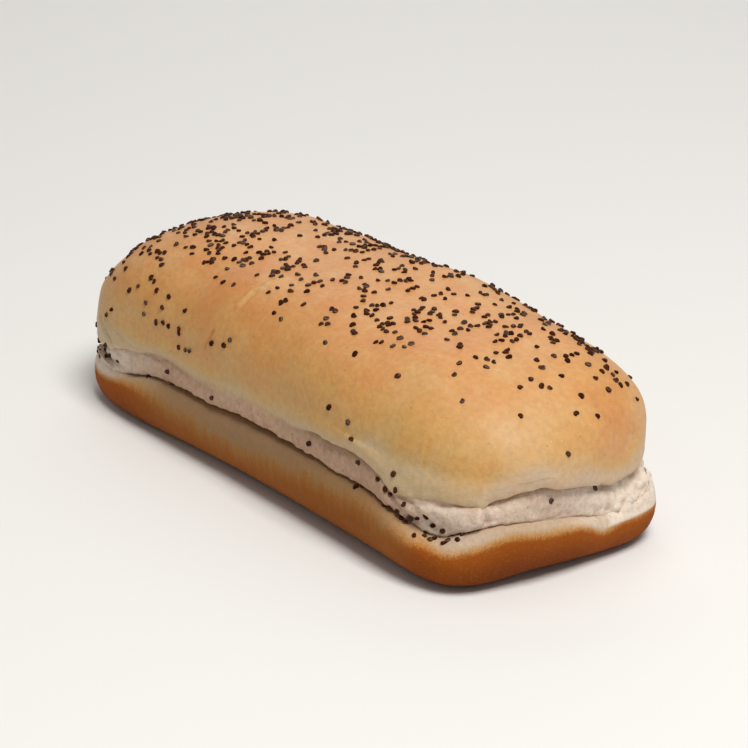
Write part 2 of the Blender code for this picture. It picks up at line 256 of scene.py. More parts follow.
def bell(value, width):
    """1 at 0, falling off to either side within about that width."""
    return np.exp(-((value / width) ** 2))


def curve(t, gap, first, last, first_slope, last_slope):
    """A smooth curve from first to last, at share t of the gap between them."""
    start = (2 * t**3 - 3 * t**2 + 1) * first + (t**3 - 2 * t**2 + t) * gap * first_slope
    return start + (3 * t**2 - 2 * t**3) * last + (t**3 - t**2) * gap * last_slope


def along(around, line):
    """A smooth line round the bun through (place, value) pairs."""
    places = np.array([place for place, _ in line])
    values = np.array([value for _, value in line])
    places = np.concatenate([places[-2:] - 1.0, places, places[:2] + 1.0])
    values = np.concatenate([values[-2:], values, values[:2]])
    slopes = np.zeros_like(values)
    slopes[1:-1] = (values[2:] - values[:-2]) / (places[2:] - places[:-2])
    i = np.clip(np.searchsorted(places, around, "right") - 1, 1, len(places) - 3)
    gap = places[i + 1] - places[i]
    return curve((around - places[i]) / gap, gap, values[i], values[i + 1], slopes[i], slopes[i + 1])


def lip_height(around):
    """Height of the lip's top."""
    return MM * along(around, LIP_LINE)


def edge_height(around):
    """Height of the crust's lower edge, where the break ends."""
    return MM * along(around, EDGE_LINE)


def crease_inset(around):
    """How far in the crease lies: a ledge's depth at the near corner, next to nothing at the near end."""
    return MM * along(around, CREASE_LINE) + wandering(around, CREASE_WANDER)


def base_levels(around):
    """(inset, height) of each ring from the resting face up to the top of the lip."""
    lip = lip_height(around)
    squeeze = bumps(around, SQUEEZE)
    foot = MM * along(around, FOOT_LINE)
    roll = MM * along(around, ROLL_LINE)
    widest = lip * along(around, WIDEST_LINE)
    levels = [(squeeze + foot + FLAT_RING_INSET, np.zeros_like(around))]
    for turn in FOOT_TURNS:
        inward = foot * (1.0 - math.sin(math.radians(turn)) ** (2.0 / FOOT_ROUND))
        rise = widest * (1.0 - math.cos(math.radians(turn)) ** (2.0 / FOOT_ROUND))
        levels.append((squeeze + inward, rise))
    for turn in LIP_TURNS:
        inward = roll * (1.0 - math.cos(math.radians(turn)))
        levels.append((squeeze + inward, widest + (lip - widest) * math.sin(math.radians(turn))))
    levels.append((squeeze + crease_inset(around), lip + CREASE_RISE))
    return levels


def break_levels(around):
    """(inset, height) of each ring from the crease up to the foot of the dome."""
    lip = lip_height(around)
    side = bumps(around, LONG_SIDES)
    squeeze = BREAK_SQUEEZE_SHARE * bumps(around, SQUEEZE)
    tear = 1.0 + wandering(around, FOLD_TEARS)
    fold = np.clip(bumps(around, FOLD_STRETCHES) * tear, 0.0, FULLEST_FOLD)
    wander = wandering(around, FOLD_WANDER)
    height = np.maximum(edge_height(around) - lip, LOWEST_BREAK) / EDGE_SHARE
    overhang = bumps(around, OVERHANG_STRETCHES)
    pinch = bumps(around, PINCH_STRETCHES)
    crease = bumps(around, SQUEEZE) + crease_inset(around)
    first_end, first_side = BREAK_RINGS[0][:2]
    face = squeeze + first_end + (first_side - first_end) * side - overhang
    levels = []
    for share, rise in UNDERSIDE_RINGS:
        steep = UNDERSIDE_SLOPE * share * np.maximum(crease - face - UNDERSIDE_LEVEL_RUN, 0.0)
        rise = np.minimum(rise + steep, UNDERSIDE_HIGHEST * share * height)
        levels.append((crease + share * (face - crease), lip + rise))
    for end_inset, side_inset, share, fold_inset, fold_share in BREAK_RINGS:
        fade = 1.0 - smooth(share, *OVERHANG_FADE)
        pinched = pinch * within(share, *PINCH_SPAN)
        inset = squeeze + end_inset + (side_inset - end_inset) * side
        rise = lip + (min(share, 1.0) + fold_share * fold) * height + max(share - 1.0, 0.0) * CRUST_RUN
        rise = rise + wander * smooth(share, *WANDER_START) * (WANDER_LEFT + (1.0 - WANDER_LEFT) * fold)
        levels.append((inset + fold_inset * fold - overhang * fade + pinched, rise))
    return levels


def level_ring(inset, height, blend):
    """The outline drawn in by inset, at a height. Blend runs from the base's outline, 0, to the dome's, 1."""
    x, y = outline(
        LENGTH / 2,
        WIDTH / 2,
        BASE_ROUND_X + (DOME_ROUND_X - BASE_ROUND_X) * blend,
        BASE_ROUND_Y + (DOME_ROUND_Y - BASE_ROUND_Y) * blend,
    )
    return np.stack([x * (1.0 - inset / (LENGTH / 2)), y * (1.0 - inset / (WIDTH / 2)), height], axis=1)


def end_swell(x):
    """How much the dome hangs out over its ends, the -X end most."""
    return np.where(x < 0.0, 1.0 + FAR_END_SWELL, 1.0 + NEAR_END_SWELL)


def dome_ring(share):
    """A ring of the dome, from its foot at share 0 towards the crown at share 1."""
    rise = math.sin(share * math.pi / 2)
    left = 1.0 - rise**DOME_ROUND_Z
    foot = DOME_FOOT_INSET * max(0.0, 1.0 - share / DOME_FOOT_SHARE)
    x, y = outline(
        (LENGTH / 2 - DOME_END_INSET - foot) * left ** (1.0 / DOME_ROUND_X),
        (WIDTH / 2 - DOME_SIDE_INSET) * left ** (1.0 / DOME_ROUND_Y),
        DOME_ROUND_X,
        DOME_ROUND_Y,
    )
    height = SHOULDER_HEIGHT + (END_HEIGHT - SHOULDER_HEIGHT) * rise
    return np.stack([x * end_swell(x), y, np.full_like(x, height)], axis=1)


def crown_height(x, y):
    """Height of the dome above a point of its plan."""
    x = x / end_swell(x)
    left = (np.abs(x) / (LENGTH / 2 - DOME_END_INSET)) ** DOME_ROUND_X
    left = left + (np.abs(y) / (WIDTH / 2 - DOME_SIDE_INSET)) ** DOME_ROUND_Y
    rise = np.clip(1.0 - left, 0.0, 1.0) ** (1.0 / DOME_ROUND_Z)
    return SHOULDER_HEIGHT + (END_HEIGHT - SHOULDER_HEIGHT) * rise


# The stations, or rings, that the crease and the dome's foot lie on. A part of the surface starts or ends
# between two stations above the crease, or above the foot where its name says so. The wall's start is counted
# from the bottom.
CREASE_STATION = 1 + len(FOOT_TURNS) + len(LIP_TURNS)
FOOT_STATION = CREASE_STATION + len(UNDERSIDE_RINGS) + len(BREAK_RINGS) + 1
WALL_START = (3.0, 5.0)
WALL_END = (-1.5, 0.0)
LIP_MIDDLE = -1.0
LIP_REACH = 2.0
BREAK_START = (-0.5, 2.0)
BREAK_END_AT_FOOT = (-3.0, 1.0)
FOLD_ABOVE_CREASE = 8.2
FOLD_START = (1.5, 4.0)
FLAKE_START = (0.5, 1.5)
FLAKE_END = (4.0, 7.0)
TORN_START = (-2.5, -0.5)
TORN_END_AT_FOOT = (-3.5, -2.0)
TORN_LIP_TOP = -0.5
BASE_END = (-0.6, 0.6)
BROWN_HIGHEST = 0.5
DOUGH_START = (-1.0, 1.0)
DOME_START_AT_FOOT = (-2.0, 3.0)


def uneven(points):
    """Arches and bows the loaf and swells it in broad lumps, leaving the resting face flat."""
    moved = points.copy()
    middle = 1.0 - (2.0 * points[:, 0] / LENGTH) ** 2
    loose = np.minimum(1.0, points[:, 2] / LIP_HEIGHT)
    swell = loose * LUMP_DEPTH * ripple(points, LUMP_SIZE, LUMP_PLACE)
    moved[:, :2] *= (1.0 + swell / (WIDTH / 2))[:, None]
    moved[:, 2] *= 1.0 + swell / END_HEIGHT
    moved[:, 1] *= 1.0 - WAIST_SHARE * middle
    moved[:, 1] += SIDE_BOW * (middle - 0.5) * loose
    moved[:, 2] += ARCH * middle * loose
    for centre, reach, (start, full, gone), push in BULGES:
        away = np.minimum(np.hypot(*(points[:, :2].T / MM - np.array(centre)[:, None])) / reach, 1.0)
        share = (0.5 + 0.5 * np.cos(math.pi * away)) * within(points[:, 2] / MM, (start, full), (full, gone))
        moved[:, :2] += share[:, None] * np.array(push) * MM
    return moved


def stations(around):
    """The rings that the loaf's surface runs through, from inside its resting face up to the crown's edge."""
    middle = break_levels(around)
    made = [level_ring(inset, height, 0.0) for inset, height in base_levels(around)]
    for place, (inset, height) in enumerate(middle):
        made.append(level_ring(inset, height, smooth((place + 1) / len(middle), 0.0, 1.0)))
    return made + [dome_ring(share) for share in DOME_RING_SHARES]


def between(rings):
    """Every ring of the fine mesh, on a smooth curve through the stations, and each one's station number."""
    gaps = [np.linalg.norm(b - a, axis=1).mean() for a, b in zip(rings, rings[1:])]
    slopes = [(b - a) / gap for a, b, gap in zip(rings, rings[1:], gaps)]
    tangents = [slopes[0]]
    for i in range(1, len(slopes)):
        weight = gaps[i] / (gaps[i - 1] + gaps[i])
        tangents.append(slopes[i - 1] * weight + slopes[i] * (1.0 - weight))
    tangents.append(slopes[-1])
    fine, numbers = [], []
    for i, gap in enumerate(gaps):
        steps = max(FEWEST_RING_STEPS, round(gap / RING_SPACING))
        for step in range(steps):
            t = step / steps
            fine.append(curve(t, gap, rings[i], rings[i + 1], tangents[i], tangents[i + 1]))
            numbers.append(i + t)
    return fine + [rings[-1]], numbers + [len(gaps)]


def crown_grid(rim):
    """The plan of a grid that fills the topmost ring, and which points of the ring run along its edges."""
    half = CROWN_ACROSS // 2
    along = np.arange(CROWN_ALONG + 1)
    across = np.arange(CROWN_ACROSS + 1)
    south = half + CROWN_ALONG + CROWN_ACROSS + along
    north = half + CROWN_ALONG - along
    west = half + CROWN_ALONG + CROWN_ACROSS - across
    east = (AROUND_STEPS - half + across) % AROUND_STEPS
    u = (along / CROWN_ALONG)[:, None, None]
    v = (across / CROWN_ACROSS)[None, :, None]
    plan = (1 - v) * rim[south][:, None] + v * rim[north][:, None]
    plan = plan + (1 - u) * rim[west][None] + u * rim[east][None]
    corners = (1 - u) * (1 - v) * rim[south[0]] + u * (1 - v) * rim[south[-1]]
    corners = corners + (1 - u) * v * rim[north[0]] + u * v * rim[north[-1]]
    return plan - corners, (south, north, west, east)


def loaf_mesh():
    """Points, faces and, for each point, its station number and its place round the bun (-1 on the crown)."""
    around = np.arange(AROUND_STEPS) / AROUND_STEPS
    fine, numbers = between(stations(around))
    rim = fine[-1]
    plan, (south, north, west, east) = crown_grid(rim[:, :2])
    ring_total = len(fine) * AROUND_STEPS
    index = np.zeros((CROWN_ALONG + 1, CROWN_ACROSS + 1), int)
    inner = (CROWN_ALONG - 1) * (CROWN_ACROSS - 1)
    index[1:-1, 1:-1] = ring_total + np.arange(inner).reshape(CROWN_ALONG - 1, CROWN_ACROSS - 1)
    last = ring_total - AROUND_STEPS
    index[:, 0] = last + south
    index[:, -1] = last + north
    index[0, :] = last + west
    index[-1, :] = last + east
    inside = plan[1:-1, 1:-1].reshape(-1, 2)
    crown = np.column_stack([inside, crown_height(inside[:, 0], inside[:, 1])])
    points = np.vstack(fine + [crown])
    faces = [list(range(AROUND_STEPS))[::-1]]
    step = np.arange(AROUND_STEPS)
    after = (step + 1) % AROUND_STEPS
    for ring in range(len(fine) - 1):
        low = ring * AROUND_STEPS
        high = low + AROUND_STEPS
        faces += np.stack([low + step, low + after, high + after, high + step], axis=1).tolist()
    quads = np.stack([index[:-1, :-1], index[1:, :-1], index[1:, 1:], index[:-1, 1:]], axis=-1)
    faces += quads.reshape(-1, 4).tolist()
    station = np.concatenate([np.repeat(numbers, AROUND_STEPS), np.full(inner, numbers[-1] + 1.0)])
    place = np.concatenate([np.tile(around, len(fine)), np.full(inner, -1.0)])
    return uneven(points), faces, station, place


def add_object(name, data):
    """A new object in the scene."""
    made = bpy.data.objects.new(name, data)
    bpy.context.scene.collection.objects.link(made)
    return made


def mesh_object(name, points, faces):
    """A smooth-shaded mesh object."""
    data = bpy.data.meshes.new(name)
    data.from_pydata(points.tolist(), [], faces)
    data.shade_smooth()
    data.update()
    return add_object(name, data)


def point_normals(data):
    """The mesh's normal at each point, as an array."""
    normals = np.zeros(len(data.vertices) * 3)
    data.vertices.foreach_get("normal", normals)
    return normals.reshape(-1, 3)


def store(data, name, values):
    """Keeps a number for each point of the mesh under a name that materials and node trees can read."""
    layer = data.attributes.new(name, "FLOAT", "POINT")
    layer.data.foreach_set("value", np.asarray(values, np.float32))


def line_distance(points, line):
    """Distance of each point from a line through a few places."""
    nearest = np.full(len(points), FAR_AWAY)
    for start, end in zip(line, line[1:]):
        start, end = np.array(start), np.array(end)
        run = end - start
        share = np.clip((points - start) @ run / (run @ run), 0.0, 1.0)
        nearest = np.minimum(nearest, np.linalg.norm(points - start - share[:, None] * run, axis=1))
    return nearest


# Folds of the break, each (depth, width, places along it as share of the way round and millimetres high). The
# bank beside a fold is (share of its depth, widths away, widths wide).
BREAK_FOLDS = (
    (0.0010, 0.0006, ((0.9462, 14.6), (0.9472, 15.6), (0.9464, 16.6))),
    (0.0006, 0.0006, ((0.8880, 16.6), (0.8990, 13.6), (0.9040, 12.4))),
    (0.0005, 0.0006, ((0.9020, 16.6), (0.9110, 14.2), (0.9160, 13.0))),
    (0.0004, 0.0005, ((0.9160, 16.0), (0.9230, 14.4), (0.9260, 13.6))),
    (0.0004, 0.0006, ((0.8850, 17.2), (0.9050, 16.9), (0.9250, 17.8), (0.9420, 18.4))),
    (0.0004, 0.0007, ((0.5720, 17.0), (0.5850, 15.0), (0.5950, 13.0))),
    (0.0004, 0.0007, ((0.5920, 20.5), (0.6050, 18.5), (0.6180, 15.0))),
    (0.0003, 0.0006, ((0.6020, 22.0), (0.6250, 19.5), (0.6600, 18.4))),
    (0.0004, 0.0007, ((0.0150, 16.4), (0.0350, 15.2), (0.0550, 15.6))),
)
FOLD_BANK = (0.4, 2.2, 1.6)
TURN_LENGTH = 0.400

# Where the lip and the break run into one another, so that the crease is filled, as (place, reach, share).
# The filling's middle and reaches are stations above the crease.
FILLED_STRETCHES = ((TORN_CORNER, 0.062, 0.75), (0.582, 0.050, 1.5))
FILL_DEPTH = 0.0013
FILL_MIDDLE = 0.7
FILL_REACH = 2.0
FILL_FLAKE_REACH = 4.0

# The near corner's face stands out a little before the near end's, and drops back at a step
STEP_START = (0.918, 0.940)
STEP_END = (0.9450, 0.9480)
STEP_FOOT = (2.0, 4.0)
STEP_DEPTH = 0.0007

# Where the crust stays pale for a few more millimetres over the break, as (place, reach, millimetres)
PALE_STRETCHES = (
    (0.980, 0.085, 3.0),
    (0.895, 0.060, 4.4),
    (FAR_CORNER, 0.075, 5.0),
    (TORN_CORNER, 0.055, 4.5),
)

# Where the long sides start and stop, round the bun. Their browning and their crust's edge are softer.
# Browning starts a little above its line and is full a run further down, in millimetres times its softness.
NEAR_SIDE = ((0.62, 0.68), (0.880, 0.912))
FAR_SIDE = ((0.12, 0.18), (0.36, 0.42))
BROWN_SOFTNESS = 1.6
SIDE_BROWN_SOFTNESS = 1.5
BROWN_LEAD = 1.0
BROWN_RUN = 6.0
EDGE_BLEND = 0.5
SOFT_EDGE_BLEND = 1.3
SOFT_EDGE_STRETCHES = ((FAR_CORNER, 0.08, 0.9),)
CROWN_EDGE_HEIGHT = 0.018
# How squarely the crust faces sideways to take its painted shade
SIDE_SHADE_FACING = (0.45, 0.95)

# Painted shade deep in the fold under the crust and in the crease, as (share, station above the crease,
# reach), and how much of the crease's painted shade goes where it is filled
FOLD_SHADE = (0.9, FOLD_ABOVE_CREASE, 1.1)
CREASE_SHADE = (0.6, 1.0, 1.3)
FILLED_SHADE_LOSS = 0.9

# Where the crust baked darker or stayed paler, as (place, reach, amount)
SCORCHES = (
    ((0.070, 0.012, 0.032), 0.007, 0.55),
    ((-0.020, -0.024, 0.036), 0.010, 0.45),
    ((-0.055, -0.006, 0.040), 0.014, 0.5),
    ((0.012, -0.020, 0.040), 0.013, 0.35),
    ((0.048, -0.027, 0.030), 0.016, -0.40),
    ((0.068, -0.008, 0.030), 0.010, -0.45),
    ((0.069, 0.004, 0.036), 0.011, -0.30),
    ((0.020, -0.028, 0.028), 0.012, -0.3),
)

# Where the lip and the break stayed nearly white, and where the lip is fluffy, as (place, reach, share). At
# the far corner the white is partly painted light. The white stops at a station below the crease, and fades
# out at the browned wall.
PALE_AND_LIT_STRETCHES = ((0.585, 0.060, 0.95), (0.012, 0.034, 0.60), (0.930, 0.035, 0.35))
FLOURY_LOWEST = -5.5
FLOURY_FADE = (-0.9, 0.3)
FLOURY_BREAK_SHARE = 0.9
FLUFFY_STRETCHES = ((0.94, 0.05, 1.0),)

# Lines on the crust, in millimetres: a crack up the near side with a ridge past it that bears a painted
# highlight, and a small crack at the near end
CRACK_FOOT = ((-15.0, -29.0, 27.6), (-13.7, -28.8, 29.6), (-12.7, -28.2, 31.4))
CRACK_TOP = ((-12.7, -28.2, 31.4), (-11.2, -27.6, 32.9), (-9.4, -26.6, 34.7), (-8.2, -24.4, 37.4))
RIDGE_END = ((-7.7, -18.1, 41.5), (-6.7, -16.2, 42.3), (-5.4, -14.5, 42.9))
END_CRACK = ((59.4, -25.0, 30.0), (59.6, -25.9, 27.2), (59.1, -26.4, 24.8))

# Fine marks of the crust, each (amount, width, line): darker above 0, as painted shade in the cracks, and
# paler below, as a painted highlight on the ridge
MARKS = (
    (3.2, 0.00045, CRACK_FOOT),
    (0.9, 0.00045, CRACK_TOP),
    (-2.2, 0.00080, ((-8.8, -24.0, 37.9), (-8.7, -22.3, 39.2), (-8.4, -20.7, 40.2), (-7.2, -19.7, 40.8))),
    (-1.1, 0.00080, RIDGE_END),
    (2.2, 0.00040, END_CRACK),
)

# The torn crumb starts past an edge that crosses the lip this many millimetres round from the middle of the
# near end, and slants away as it rises. Some crumb shows well before the edge. It stops past the corner.
TORN_EDGE_FOOT = 9.4
TORN_EDGE_SLANT = 1.05
TORN_EDGE_WANDER = ((2.2, 260, 6.0), (1.2, 620, 2.0))
TORN_EDGE_WIDTH = (-1.2, 1.6)
TORN_EARLY_SHARE = 0.35
TORN_EARLY_RUN = 14.0
TORN_FOOT_HEIGHT = 9.6
TORN_LOWEST = (7.6, 8.6)
TORN_LOWEST_STATION = -4.5
TORN_LIP_FADE = (0.25, 1.0)
TORN_OVER_CRUST = 0.3
TORN_STOP = (0.105, 0.130)

# Wrinkles of the crust, each (depth, width, line). The bank beside a wrinkle is (share of its depth, widths
# away, widths wide).
WRINKLES = (
    (0.00040, 0.0005, CRACK_FOOT),
    (0.00014, 0.0005, CRACK_TOP),
    (-0.00046, 0.0007, ((-8.6, -24.4, 37.4), (-8.6, -22.7, 38.9), (-8.8, -20.7, 40.2), (-7.2, -19.7, 40.8))),
    (0.00036, 0.0005, ((-7.2, -24.2, 37.7), (-7.4, -22.5, 39.2), (-7.4, -20.5, 40.5))),
    (-0.00030, 0.0007, RIDGE_END),
    (0.00028, 0.0004, END_CRACK),
    (0.00020, 0.0006, ((34.0, -17.0, 42.0), (44.0, -14.5, 41.6), (54.2, -9.9, 40.8), (65.7, 2.2, 37.0))),
    (0.00016, 0.0005, ((40.0, -9.0, 43.0), (50.0, -4.0, 42.0), (57.5, 1.0, 41.0), (63.0, 7.5, 38.5))),
    (0.00060, 0.0030, ((70.5, 9.0, 33.0), (71.8, 12.5, 27.5), (70.5, 15.5, 24.5))),
)
WRINKLE_BANK = (0.25, 1.8, 1.2)

# Layers of low relief, each (depth, size of its lumps, where its noise starts). The break's lumps are drawn
# out along it, and the wall's streaks run up and down.
DOME_LAYERS = ((0.00030, 0.0100, (0, 0, 0)), (0.00012, 0.0042, (5, 1, 2)))
BREAK_LUMPS = ((0.00045, 0.0042, (1, 7, 3)),)
BREAK_RIDGE_DEPTH = 0.00018
BREAK_RIDGES = ((2.0, 0.0024, (4, 2, 9)),)
BREAK_RIDGE_TOP = 0.4
BREAK_GRAIN = ((0.00006, 0.0010, (8, 3, 1)),)
BREAK_DRAW = (0.55, 0.55, 1.0)
WALL_LUMPS = ((0.00012, 0.0070, (2, 2, 6)),)
WALL_STREAKS = ((0.00006, 0.0012, (3, 9, 4)),)
WALL_DRAW = (1.0, 1.0, 0.12)
TORN_LAYERS = ((0.00125, 0.0024, (6, 6, 2)), (0.00090, 0.0013, (2, 5, 7)))
TORN_SWELL = 0.0004
FLAKE_LAYERS = ((0.00030, 0.0016, (4, 8, 2)),)
LIP_LAYERS = ((0.00010, 0.0020, (7, 1, 1)),)
FLUFFY_LIP_SHARE = 1.6
WRINKLE_WOBBLE = ((0.5, 0.0040, (9, 9, 1)),)


def layered(points, layers):
    """Layers of ripples added up."""
    return sum(depth * ripple(points, size, place) for depth, size, place in layers)


def groove(away, depth, width, bank):
    """A groove at each point's distance from its line, with a bank raised beside it."""
    bank_share, bank_away, bank_width = bank
    raised = bank_share * depth * bell(away - bank_away * width, bank_width * width)
    return raised - depth * bell(away, width)


def torn_share(around, height):
    """Where the bread tore open to white crumb: at the near end's far corner, past a slanting edge."""
    start = TORN_EDGE_FOOT + TORN_EDGE_SLANT * (height / MM - TORN_FOOT_HEIGHT)
    start = start + wandering(around, TORN_EDGE_WANDER)
    past = np.where(around > 0.5, around - 1.0, around) * TURN_LENGTH / MM - start
    share = TORN_EARLY_SHARE * smooth(past, -TORN_EARLY_RUN, 0.0)
    share = share + (1.0 - TORN_EARLY_SHARE) * smooth(past, *TORN_EDGE_WIDTH)
    return share * (1.0 - smooth(around, *TORN_STOP)) * smooth(height / MM, *TORN_LOWEST)


def relief(points, station, place):
    """How far the fine surface stands out from the loaf's plain form at each point."""
    ring = place >= 0.0
    around = np.maximum(place, 0.0)
    above_crease = station - CREASE_STATION
    above_foot = station - FOOT_STATION
    dome = smooth(above_foot, *DOME_START_AT_FOOT)
    broken = smooth(above_crease, *BREAK_START) * (1.0 - smooth(above_foot, *BREAK_END_AT_FOOT))
    wall = smooth(station, *WALL_START) * (1.0 - smooth(above_crease, *WALL_END))
    lip = bell(above_crease - LIP_MIDDLE, LIP_REACH)

    out = dome * layered(points, DOME_LAYERS)
    drawn = points * np.array(BREAK_DRAW)
    ridges = BREAK_RIDGE_DEPTH * (BREAK_RIDGE_TOP - np.abs(layered(drawn, BREAK_RIDGES)))
    out += broken * (layered(drawn, BREAK_LUMPS) + ridges + layered(points, BREAK_GRAIN))
    out += wall * (layered(points, WALL_LUMPS) + layered(points * np.array(WALL_DRAW), WALL_STREAKS))

    unrolled = np.column_stack([around * TURN_LENGTH, points[:, 2]])
    for depth, width, line in BREAK_FOLDS:
        away = line_distance(unrolled, np.array(line) * np.array([TURN_LENGTH, MM]))
        away = np.where(ring & (above_crease > 0.0), away, FAR_AWAY)
        out += smooth(above_crease, *FOLD_START) * groove(away, depth, width, FOLD_BANK)
    out += STEP_DEPTH * broken * within(around, STEP_START, STEP_END) * smooth(above_crease, *STEP_FOOT)

    torn = np.where(ring, torn_share(around, points[:, 2]), 0.0)
    torn *= smooth(above_crease, *TORN_START) * (1.0 - smooth(above_foot, *TORN_END_AT_FOOT))
    out += torn * (TORN_SWELL + layered(points, TORN_LAYERS))
    filled = bumps(around, FILLED_STRETCHES) * ring
    out += filled * FILL_DEPTH * bell(above_crease - FILL_MIDDLE, FILL_REACH)
    filled_flaky = np.minimum(filled, 1.0) * bell(above_crease, FILL_FLAKE_REACH)
    flaky = np.maximum(within(above_crease, FLAKE_START, FLAKE_END), filled_flaky)
    out += flaky * layered(points, FLAKE_LAYERS)
    fluffy = 1.0 + FLUFFY_LIP_SHARE * bumps(around, FLUFFY_STRETCHES) * ring
    out += lip * fluffy * layered(points, LIP_LAYERS)

    wobble = 1.0 + layered(points, WRINKLE_WOBBLE)
    for depth, width, line in WRINKLES:
        out += wobble * groove(line_distance(points, np.array(line) * MM), depth, width, WRINKLE_BANK)
    return out


def make_loaf():
    """The bun's body with its fine surface, standing where the solid stands."""
    points, faces, station, place = loaf_mesh()
    loaf = mesh_object("bun_bread", points, faces)
    points = points + point_normals(loaf.data) * relief(points, station, place)[:, None]
    points[:, 2] = np.maximum(points[:, 2], 0.0)
    points[:, :2] -= (points[:, :2].min(axis=0) + points[:, :2].max(axis=0)) / 2
    loaf.data.vertices.foreach_set("co", points.ravel())
    loaf.data.update()
    paint_loaf(loaf.data, points, station, place)
    return loaf


def paint_loaf(data, points, station, place):
    """Stores what the bread's material and the strewing of seeds go by, for each point."""
    normals = point_normals(data)
    ring = place >= 0.0
    around = np.maximum(place, 0.0)
    above_crease = station - CREASE_STATION
    arch = ARCH * (1.0 - (2.0 * points[:, 0] / LENGTH) ** 2)
    edge = np.where(ring, edge_height(around), CROWN_EDGE_HEIGHT) + arch
    above_edge = (points[:, 2] - edge) / MM
    long_side = (within(around, *NEAR_SIDE) + within(around, *FAR_SIDE)) * ring
    below_brown = (MM * along(around, BROWN_LINE) + arch - points[:, 2]) / MM
    below_brown = below_brown / (BROWN_SOFTNESS + SIDE_BROWN_SOFTNESS * long_side)
    browned = np.clip((below_brown + BROWN_LEAD) / BROWN_RUN, 0.0, 1.0)

    below_crust = above_edge < TORN_OVER_CRUST
    torn = torn_share(around, points[:, 2]) * ring * below_crust * (above_crease > TORN_LOWEST_STATION)
    torn = np.where(above_crease < TORN_LIP_TOP, smooth(torn, *TORN_LIP_FADE), torn)
    # Pale lip and break, with painted light at the far corner
    pale_and_lit = bumps(around, PALE_AND_LIT_STRETCHES) * (1.0 - smooth(below_brown, *FLOURY_FADE)) * ring
    pale_and_lit *= above_crease > FLOURY_LOWEST
    blend = EDGE_BLEND + SOFT_EDGE_BLEND * np.maximum(long_side, bumps(around, SOFT_EDGE_STRETCHES))
    broken = smooth(above_crease, *DOUGH_START) * (1.0 - smooth(above_edge, -blend, blend))
    broken = np.maximum(np.maximum(broken, torn), np.clip(pale_and_lit, 0.0, FLOURY_BREAK_SHARE) * below_crust)

    fold = np.clip(bumps(around, FOLD_STRETCHES), 0.0, 1.0)
    open_crease = 1.0 - FILLED_SHADE_LOSS * np.clip(bumps(around, FILLED_STRETCHES), 0.0, 1.0)
    # Painted shade in the fold under the crust and in the crease
    painted_crease_shade = 0.0
    for here, (share, middle, reach) in ((fold, FOLD_SHADE), (open_crease, CREASE_SHADE)):
        painted_crease_shade = painted_crease_shade + share * here * bell(above_crease - middle, reach)
    scorch_shade_and_highlight = 0.0
    for spot, reach, amount in SCORCHES:
        scorch_shade_and_highlight = scorch_shade_and_highlight + amount * bell(np.linalg.norm(points - np.array(spot), axis=1), reach)
    # Marks: painted shade in the cracks and a painted highlight on the ridge
    for amount, width, line in MARKS:
        scorch_shade_and_highlight = scorch_shade_and_highlight + amount * bell(line_distance(points, np.array(line) * MM), width)

    store(data, "crust_rise", above_edge - bumps(around, PALE_STRETCHES) * ring)
    store(data, "pan_depth", np.where(above_crease < BROWN_HIGHEST, browned, 0.0))
    # Torn crumb and pale lip, with painted light at the far corner
    store(data, "torn", np.clip(torn + pale_and_lit, 0.0, 1.0))
    store(data, "base", 1.0 - smooth(above_crease, *BASE_END))
    store(data, "broken", broken)
    store(data, "long_side", long_side)
    store(data, "painted_crease_shade", painted_crease_shade * ring)
    store(data, "side_shade", smooth(np.abs(normals[:, 1]), *SIDE_SHADE_FACING))
    store(data, "scorch_shade_and_highlight", scorch_shade_and_highlight)
    store(data, "seed_share", seed_share(points, normals, above_crease, around, ring))


# Where seeds fell on the lip and stuck to the break, as (place, reach, share), and the station above the
# crease where most of them lie, with their reach
LEDGE_SEEDS = (
    (0.918, 0.045, 0.8),
    (0.872, 0.030, 0.4),
    (0.585, 0.040, 1.1),
    (0.660, 0.050, 0.3),
    (0.400, 0.060, 0.3),
)
BREAK_SEEDS = ((0.905, 0.040, 0.34), (0.580, 0.040, 0.45))
LEDGE_MIDDLE = -0.3
LEDGE_REACH = 1.0
BREAK_SEED_MIDDLE = 6.0
BREAK_SEED_REACH = 4.0

# On the dome, seeds lie past a line along the near side, in millimetres from the bun's middle. The line runs
# further in towards the near end and further out towards the far end.
SEED_LINE = -23.0
SEED_LINE_IN = (13.0, (22.0, 68.0))
SEED_LINE_OUT = (5.0, (24.0, 48.0))
SEED_LINE_FADE = (-2.0, 9.0)

# How flat the crust has to lie to hold seeds, how much steeper it may be towards the far end, and how many
# stations below the dome's foot its seeds start
SEED_HOLD = (0.10, 0.45)
FAR_END_HOLD = (0.30, (52.0, 70.0))
SEEDS_BELOW_FOOT = 2

# Where seeds thin out, as (share lost, millimetres between which it is lost)
FAR_SIDE_THIN = (0.80, (17.0, 27.0))
NEAR_END_THIN = (0.90, (56.0, 71.0))
FAR_CORNER_THIN = (0.85, (56.0, 64.0), (1.0, 8.0))

# Seeds lie in patches, clumps and winding threads
SEED_PATCHES = ((0.50, 0.0130, (2, 8, 5)), (1.00, 0.0034, (6, 4, 8)))
SEED_PATCH_MEAN = 0.14
SEED_THREAD_SHARE = 0.55
SEED_THREAD_WIDTH = 0.09
SEED_THREAD_SIZE = 0.0075
FEWEST_SEEDS = 0.02

# Strays lie anywhere above the lip that isn't too steep, and more of them near the far end, in millimetres
STRAY_SEEDS = 0.018
STRAY_FAR_SEEDS = 0.060
STRAY_FAR_PART = ((6.0, 32.0), (48.0, 60.0))
STRAY_HOLD = (-0.10, 0.25)
STRAY_LOWEST = 4.0


def eased(value, settings):
    """A share that comes in between two values."""
    share, span = settings
    return share * smooth(value, *span)


